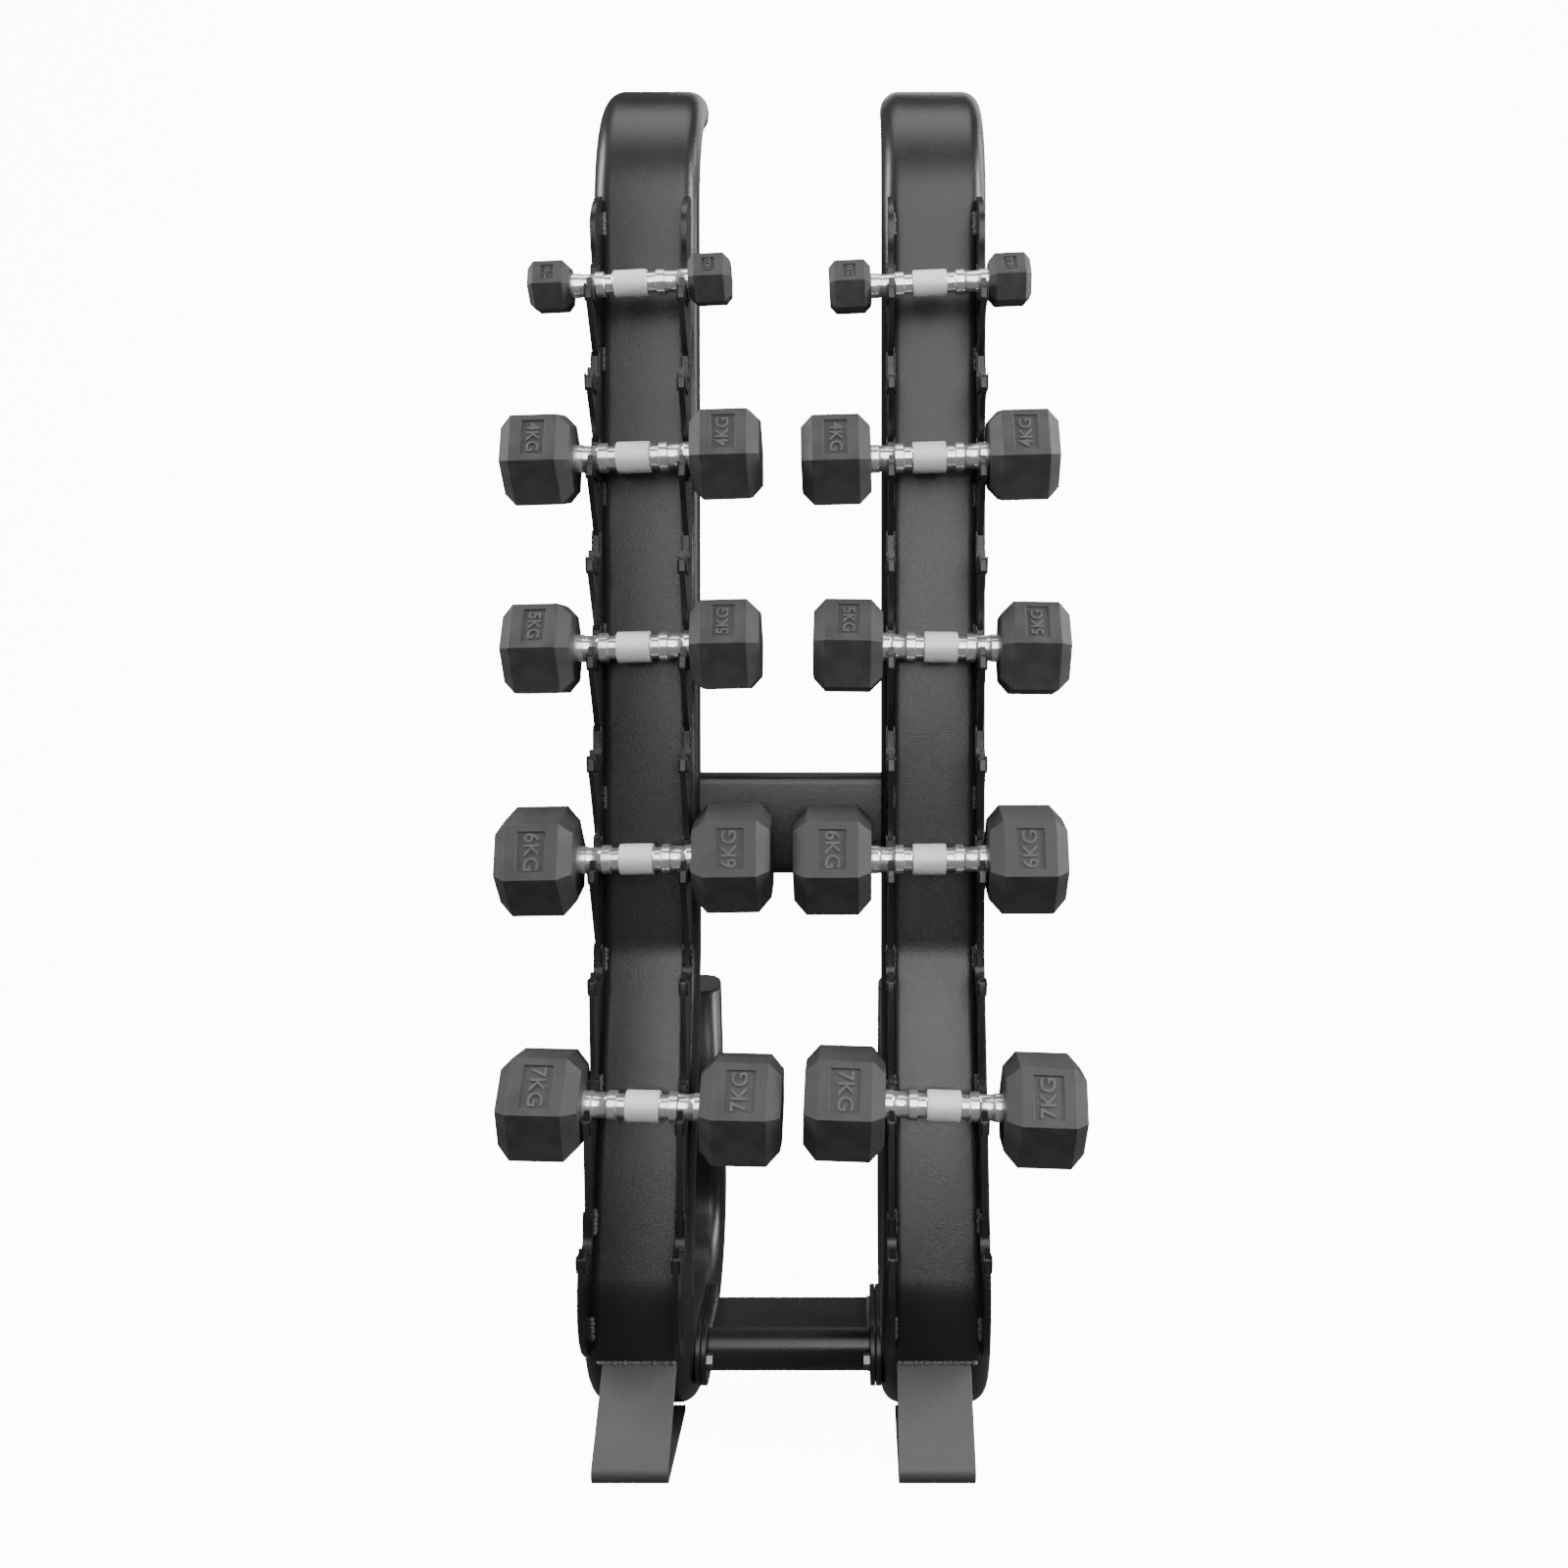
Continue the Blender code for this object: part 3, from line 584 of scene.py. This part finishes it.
def cross_tube_welds():
    """A bead above and below the lower cross tube, where it meets each flange."""
    x = COLUMN_SPACING / 2 - TUBE_WIDTH / 2 - 2 * FLANGE_THICKNESS - 0.001
    y, z = LOWER_CROSS
    for side, sign in SIDES.items():
        for number, height in enumerate((-TUBE_DEPTH / 2, TUBE_DEPTH / 2)):
            ends = [(sign * x, y + end * 0.032, z + height) for end in (-1, 1)]
            weld(f"{side}_cross_weld_{number + 1}", *ends, PLATE_WELD_RADIUS, 90 + number)


def foot_outline():
    """The bent flat bar in (y, z): from the tube down to a round nose, then back along the floor."""
    bend_centre = Vector((BASE_BEND_RADIUS - FRONT_REACH, BASE_BEND_RADIUS + TUBE_DEPTH / 2))
    bend_radius = BASE_BEND_RADIUS + TUBE_DEPTH / 2 + GAP
    drop = bend_centre.y - FOOT_TOP_Z
    top = Vector((bend_centre.x - math.sqrt(bend_radius**2 - drop**2), FOOT_TOP_Z))
    nose_centre = Vector((FOOT_NOSE_Y + FOOT_NOSE_RADIUS, FOOT_NOSE_RADIUS))
    slope = top - nose_centre
    tangent = math.atan2(slope.y, slope.x) + math.acos(FOOT_NOSE_RADIUS / slope.length)
    outward = Vector((math.cos(tangent), math.sin(tangent)))
    inner_radius = FOOT_NOSE_RADIUS - FOOT_PLATE
    start = nose_centre + outward * inner_radius
    along = Vector((outward.y, -outward.x))
    to_bend = bend_centre - start
    halfway = to_bend.dot(along)
    run = halfway - math.sqrt(bend_radius**2 - to_bend.length_squared + halfway**2)
    tangent_deg = math.degrees(tangent)
    outer = [tuple(top), *arc(nose_centre, FOOT_NOSE_RADIUS, tangent_deg, 270, 8), (FOOT_RETURN_Y, 0)]
    inner = [(FOOT_RETURN_Y, FOOT_PLATE), *arc(nose_centre, inner_radius, 270, tangent_deg, 12)]
    return outer + inner + [tuple(start + along * run)]


def feet():
    for side, sign in SIDES.items():
        place = Matrix.Translation((sign * (COLUMN_SPACING / 2 - FOOT_INSET), 0, 0)) @ YZ_PLANE
        foot = bar_from_outline(f"{side}_foot_bar", foot_outline(), FOOT_WIDTH, FOOT_COAT_PAINTED_LIGHTER, place)
        soften(foot, 0.0008)
        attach(foot, "rack")
        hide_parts(f"{side}_front_foot")


def head_mesh(kilograms):
    """A hexagonal head about X with a chamfer round each end, and its length."""
    length, across_corners, _ = DUMBBELL_SIZES[kilograms]
    head_length = (length - HANDLE_GAP) / 2
    shape = bmesh.new()
    turn = Matrix.Rotation(math.pi / 2, 4, "Y")
    radius = across_corners / 2
    bmesh.ops.create_cone(
        shape, cap_ends=True, segments=6, depth=head_length, radius1=radius, radius2=radius, matrix=turn
    )
    rims = [edge for edge in shape.edges if abs(edge.verts[0].co.x - edge.verts[1].co.x) < 1e-6]
    chamfer = HEAD_CHAMFER_RATIO * across_corners
    bmesh.ops.bevel(shape, geom=rims, offset=chamfer, offset_type="OFFSET", segments=1, affect="EDGES")
    mesh = bpy.data.meshes.new(f"head_{kilograms}kg")
    shape.to_mesh(mesh)
    shape.free()
    return mesh, head_length


def label_box(kilograms):
    """A shallow box that sinks a rounded label panel into the head's upper front face."""
    width, height = LABELS[kilograms]
    cosine, sine = math.cos(math.radians(LABEL_FACE_DEG)), math.sin(math.radians(LABEL_FACE_DEG))
    apothem = DUMBBELL_SIZES[kilograms][1] / 2 * cosine
    shape = bmesh.new()
    panel = rounded_rectangle(width, height, LABEL_CORNER, 3)
    extruded(shape, panel, LABEL_BOX_THICKNESS, Matrix.Identity(4))
    mesh = finished_mesh(f"label_{kilograms}kg", shape)
    outward = Vector((0, -cosine, sine))
    upward = Vector((0, sine, cosine))
    turn = Matrix((Vector((1, 0, 0)), upward, outward)).transposed().to_4x4()
    return mesh, Matrix.Translation(outward * apothem) @ turn


def lathe(name, profile, material, matrix):
    """A shape turned about X from (x, r) points."""
    shape = bmesh.new()
    verts = [shape.verts.new((x, 0, r)) for x, r in profile]
    for a, b in zip(verts, verts[1:]):
        shape.edges.new((a, b))
    bmesh.ops.spin(
        shape, geom=shape.verts[:] + shape.edges[:], cent=(0, 0, 0), axis=(1, 0, 0),
        angle=2 * math.pi, steps=48, use_merge=True,
    )
    bmesh.ops.remove_doubles(shape, verts=shape.verts, dist=1e-6)
    obj = add_mesh(name, shape, material, matrix)
    obj.data.shade_smooth()
    obj.data.set_sharp_from_angle(angle=math.radians(SHARP_LATHE_DEG))
    return obj


def dumbbell_place(side, kilograms):
    """Where the handle's middle lies, with the dumbbell's tilt and roll."""
    thickness = DUMBBELL_SIZES[kilograms][2]
    shift, saddle, face_deg, tilt_deg = PLACES[side][kilograms]
    y, z = SADDLES[saddle]
    rise = TILT_RISE * PLATE_OFFSET * math.sin(math.radians(abs(tilt_deg)))
    drop = SEAT_RADIUS - COLLAR_RADIUS * thickness - rise
    centre = Vector((SIDES[side] * COLUMN_SPACING / 2 + shift, y, z - drop))
    tilt = Matrix.Rotation(math.radians(-tilt_deg), 4, "Y")
    roll = Matrix.Rotation(math.radians(LABEL_FACE_DEG - face_deg), 4, "X")
    return Matrix.Translation(centre) @ tilt @ roll


def handle(body, thickness, place):
    """Two polished shaft ends and a knurled grip."""
    end = HANDLE_GAP / 2 + SHAFT_INSERT
    steps = [(x, r * thickness) for x, r in (*SHAFT_STEPS, (end, SHAFT_END_RADIUS))]
    for label, sign in SIDES.items():
        profile = [(sign * SHAFT_START, 0.0)] + [(sign * x, r) for x, r in steps] + [(sign * end, 0.0)]
        part = lathe(f"{body}_{label}_shaft", profile, CHROME, place)
        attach(part, body)
    radius = GRIP_RADIUS * thickness
    right_half = [
        (GRIP_HALF - GRIP_CHAMFER_LENGTH, radius),
        (GRIP_HALF, radius - GRIP_CHAMFER),
        (GRIP_HALF, 0.0),
    ]
    profile = [(-x, r) for x, r in reversed(right_half)] + right_half
    grip = lathe(f"{body}_grip", profile, KNURL, place)
    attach(grip, body)
    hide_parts(f"{body}_handle")


def cut_label(head, name, label_mesh, matrix):
    """Sinks the label panel into the head."""
    cutter = add_object(name, label_mesh, None, matrix)
    recess = head.modifiers.new("label", "BOOLEAN")
    recess.operation = "DIFFERENCE"
    recess.solver = "EXACT"
    recess.object = cutter
    bpy.context.view_layer.update()
    solid = bpy.data.meshes.new_from_object(head.evaluated_get(bpy.context.evaluated_depsgraph_get()))
    head.modifiers.clear()
    head.data = solid
    bpy.data.objects.remove(cutter, do_unlink=True)


def dumbbell(side, kilograms):
    """Finer pieces placed where the CAD's three pieces are."""
    body = f"{side}_dumbbell_{kilograms}kg"
    place = dumbbell_place(side, kilograms)
    handle(body, DUMBBELL_SIZES[kilograms][2], place)
    label_mesh, label_place = label_box(kilograms)
    for label, sign in SIDES.items():
        mesh, head_length = head_mesh(kilograms)
        head_place = place @ Matrix.Translation((sign * (HANDLE_GAP + head_length) / 2, 0, 0))
        head = add_object(f"{body}_{label}_rubber", mesh, RUBBER, head_place)
        cut_label(head, f"{body}_{label}_label_cutter", label_mesh, head_place @ label_place)
        soften(head, HEAD_ROUND if kilograms > 1 else SMALL_HEAD_ROUND, 3)
        head.modifiers["soft_edges"].use_clamp_overlap = True
        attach(head, body)
        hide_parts(f"{body}_{label}_head")
        weight_mark(f"{body}_{label}_mark", kilograms, head_place @ label_place, sign, body)


def weight_mark(name, kilograms, label_place, inner_sign, body):
    """The weight in raised figures, in a paler rubber that is a painted highlight on their relief, turned
    so that their tops point at the handle.
    """
    text = bpy.data.curves.new(name, "FONT")
    text.body = f"{kilograms}KG"
    text.align_x = "CENTER"
    text.align_y = "CENTER"
    height = FIGURE_HEIGHT if kilograms > 1 else SMALL_FIGURE_HEIGHT
    text.size = height * LABELS[kilograms][0]
    text.extrude = FIGURE_RAISE
    text.offset = FIGURE_FATTENING
    figures = bpy.data.objects.new(name, text)
    bpy.context.scene.collection.objects.link(figures)
    sunk = Matrix.Translation((0, 0, -FIGURE_SINK))
    turned = Matrix.Rotation(inner_sign * math.pi / 2, 4, "Z")
    obj = add_object(name, curve_to_mesh(figures), FIGURE_RUBBER_PAINTED_LIGHT, label_place @ sunk @ turned)
    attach(obj, body)


def recoat_frame():
    """Materials for the CAD's nodes: the caps and bolts stay in view."""
    for name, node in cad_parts.items():
        if name.endswith("_bolt"):
            material = ZINC
        elif name.endswith("_cap"):
            material = CAP
        else:
            material = COAT
        node.data.materials.clear()
        node.data.materials.append(material)


def cross_pieces():
    """Finer cross tubes and flanges."""
    inner = COLUMN_SPACING / 2 - TUBE_WIDTH / 2 - GAP
    upper = rounded_rectangle(UPPER_CROSS_DEPTH, CROSS_WIDTH, UPPER_CROSS_CORNER)
    lower = rounded_rectangle(CROSS_WIDTH, TUBE_DEPTH, TUBE_CORNER)
    lower_half = inner - 2 * FLANGE_THICKNESS - 2 * GAP
    rows = (
        ("upper_cross_tube", upper, inner + TUBE_CORNER / 2, UPPER_CROSS_Y, UPPER_CROSS_Z),
        ("lower_cross_tube", lower, lower_half, *LOWER_CROSS),
    )
    for name, outline, half, y, z in rows:
        place = Matrix.Translation((0, y, z)) @ YZ_PLANE
        tube = bar_from_outline(f"{name}_fine", outline, 2 * half, COAT, place)
        tube.data.shade_smooth()
        tube.data.set_sharp_from_angle(angle=math.radians(SHARP_TUBE_DEG))
        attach(tube, "rack")
        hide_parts(name)
    oval = rounded_rectangle(FLANGE_LENGTH, FLANGE_HEIGHT, FLANGE_HEIGHT / 2 - 0.001, 10)
    for side, sign in SIDES.items():
        for order, label in enumerate(("column_flange", "tube_flange")):
            x = COLUMN_SPACING / 2 - TUBE_WIDTH / 2 - (order + 1) * GAP - (order + 0.5) * FLANGE_THICKNESS
            place = Matrix.Translation((sign * x, *LOWER_CROSS)) @ YZ_PLANE
            flange = bar_from_outline(f"{side}_{label}_fine", oval, FLANGE_THICKNESS, COAT, place)
            soften(flange, 0.0009)
            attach(flange, "rack")
            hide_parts(f"{side}_{label}")


# ---------------------------------------------------------------- stage, light and camera


def studio_sheet(name, path):
    """A white sheet swept along X. It shows white to the camera but throws no light on the object."""
    material, _, _, shader = new_material(f"{name}_white", (0.93, 0.93, 0.93), 0.9)
    shader.inputs["Emission Color"].default_value = (1, 1, 1, 1)
    shader.inputs["Emission Strength"].default_value = SHEET_GLOW
    shape = bmesh.new()
    verts = [shape.verts.new((-5.0, y, z)) for y, z in path]
    edges = [shape.edges.new(pair) for pair in zip(verts, verts[1:])]
    made = bmesh.ops.extrude_edge_only(shape, edges=edges)["geom"]
    far_side = [g for g in made if isinstance(g, bmesh.types.BMVert)]
    bmesh.ops.translate(shape, verts=far_side, vec=(10, 0, 0))
    sheet = add_mesh(name, shape, material)
    sheet.data.shade_smooth()
    sheet.visible_diffuse = False
    sheet.visible_glossy = False


def area_light(name, location, target, size, power):
    light = bpy.data.lights.new(name, "AREA")
    light.shape = "RECTANGLE"
    light.size, light.size_y = size
    light.energy = power
    obj = bpy.data.objects.new(name, light)
    bpy.context.scene.collection.objects.link(obj)
    obj.location = location
    aim = Vector(target) - Vector(location)
    obj.rotation_euler = aim.to_track_quat("-Z", "Y").to_euler()


def stage_and_light():
    """A white sheet for floor and wall, a faint white world, and the lights."""
    wall_base = arc((1.6, 0.7995), 0.8, 270, 360, 6)
    studio_sheet("studio_floor", [(-3.0, -0.0005), *wall_base, (2.4, 5.0)])

    world = bpy.data.worlds.new("studio")
    bpy.context.scene.world = world
    world.use_nodes = True
    background = world.node_tree.nodes["Background"]
    background.inputs["Color"].default_value = (1, 1, 1, 1)
    background.inputs["Strength"].default_value = WORLD_LIGHT
    for row in LIGHTS:
        area_light(*row)


def camera():
    data = bpy.data.cameras.new("camera")
    data.sensor_width = SENSOR_WIDTH
    data.lens = FOCAL_LENGTH
    data.shift_x, data.shift_y = LENS_SHIFT
    obj = bpy.data.objects.new("camera", data)
    bpy.context.scene.collection.objects.link(obj)
    obj.location = ORIGIN + Vector(CAMERA_PLACE)
    obj.rotation_euler = (math.radians(90 - CAMERA_DOWN_DEG), 0, 0)
    bpy.context.scene.camera = obj


recoat_frame()
for side_name in SIDES:
    column(side_name)
    for weight in DUMBBELL_SIZES:
        dumbbell(side_name, weight)
feet()
liners()
welds()
cross_pieces()
cross_tube_welds()
stage_and_light()
camera()
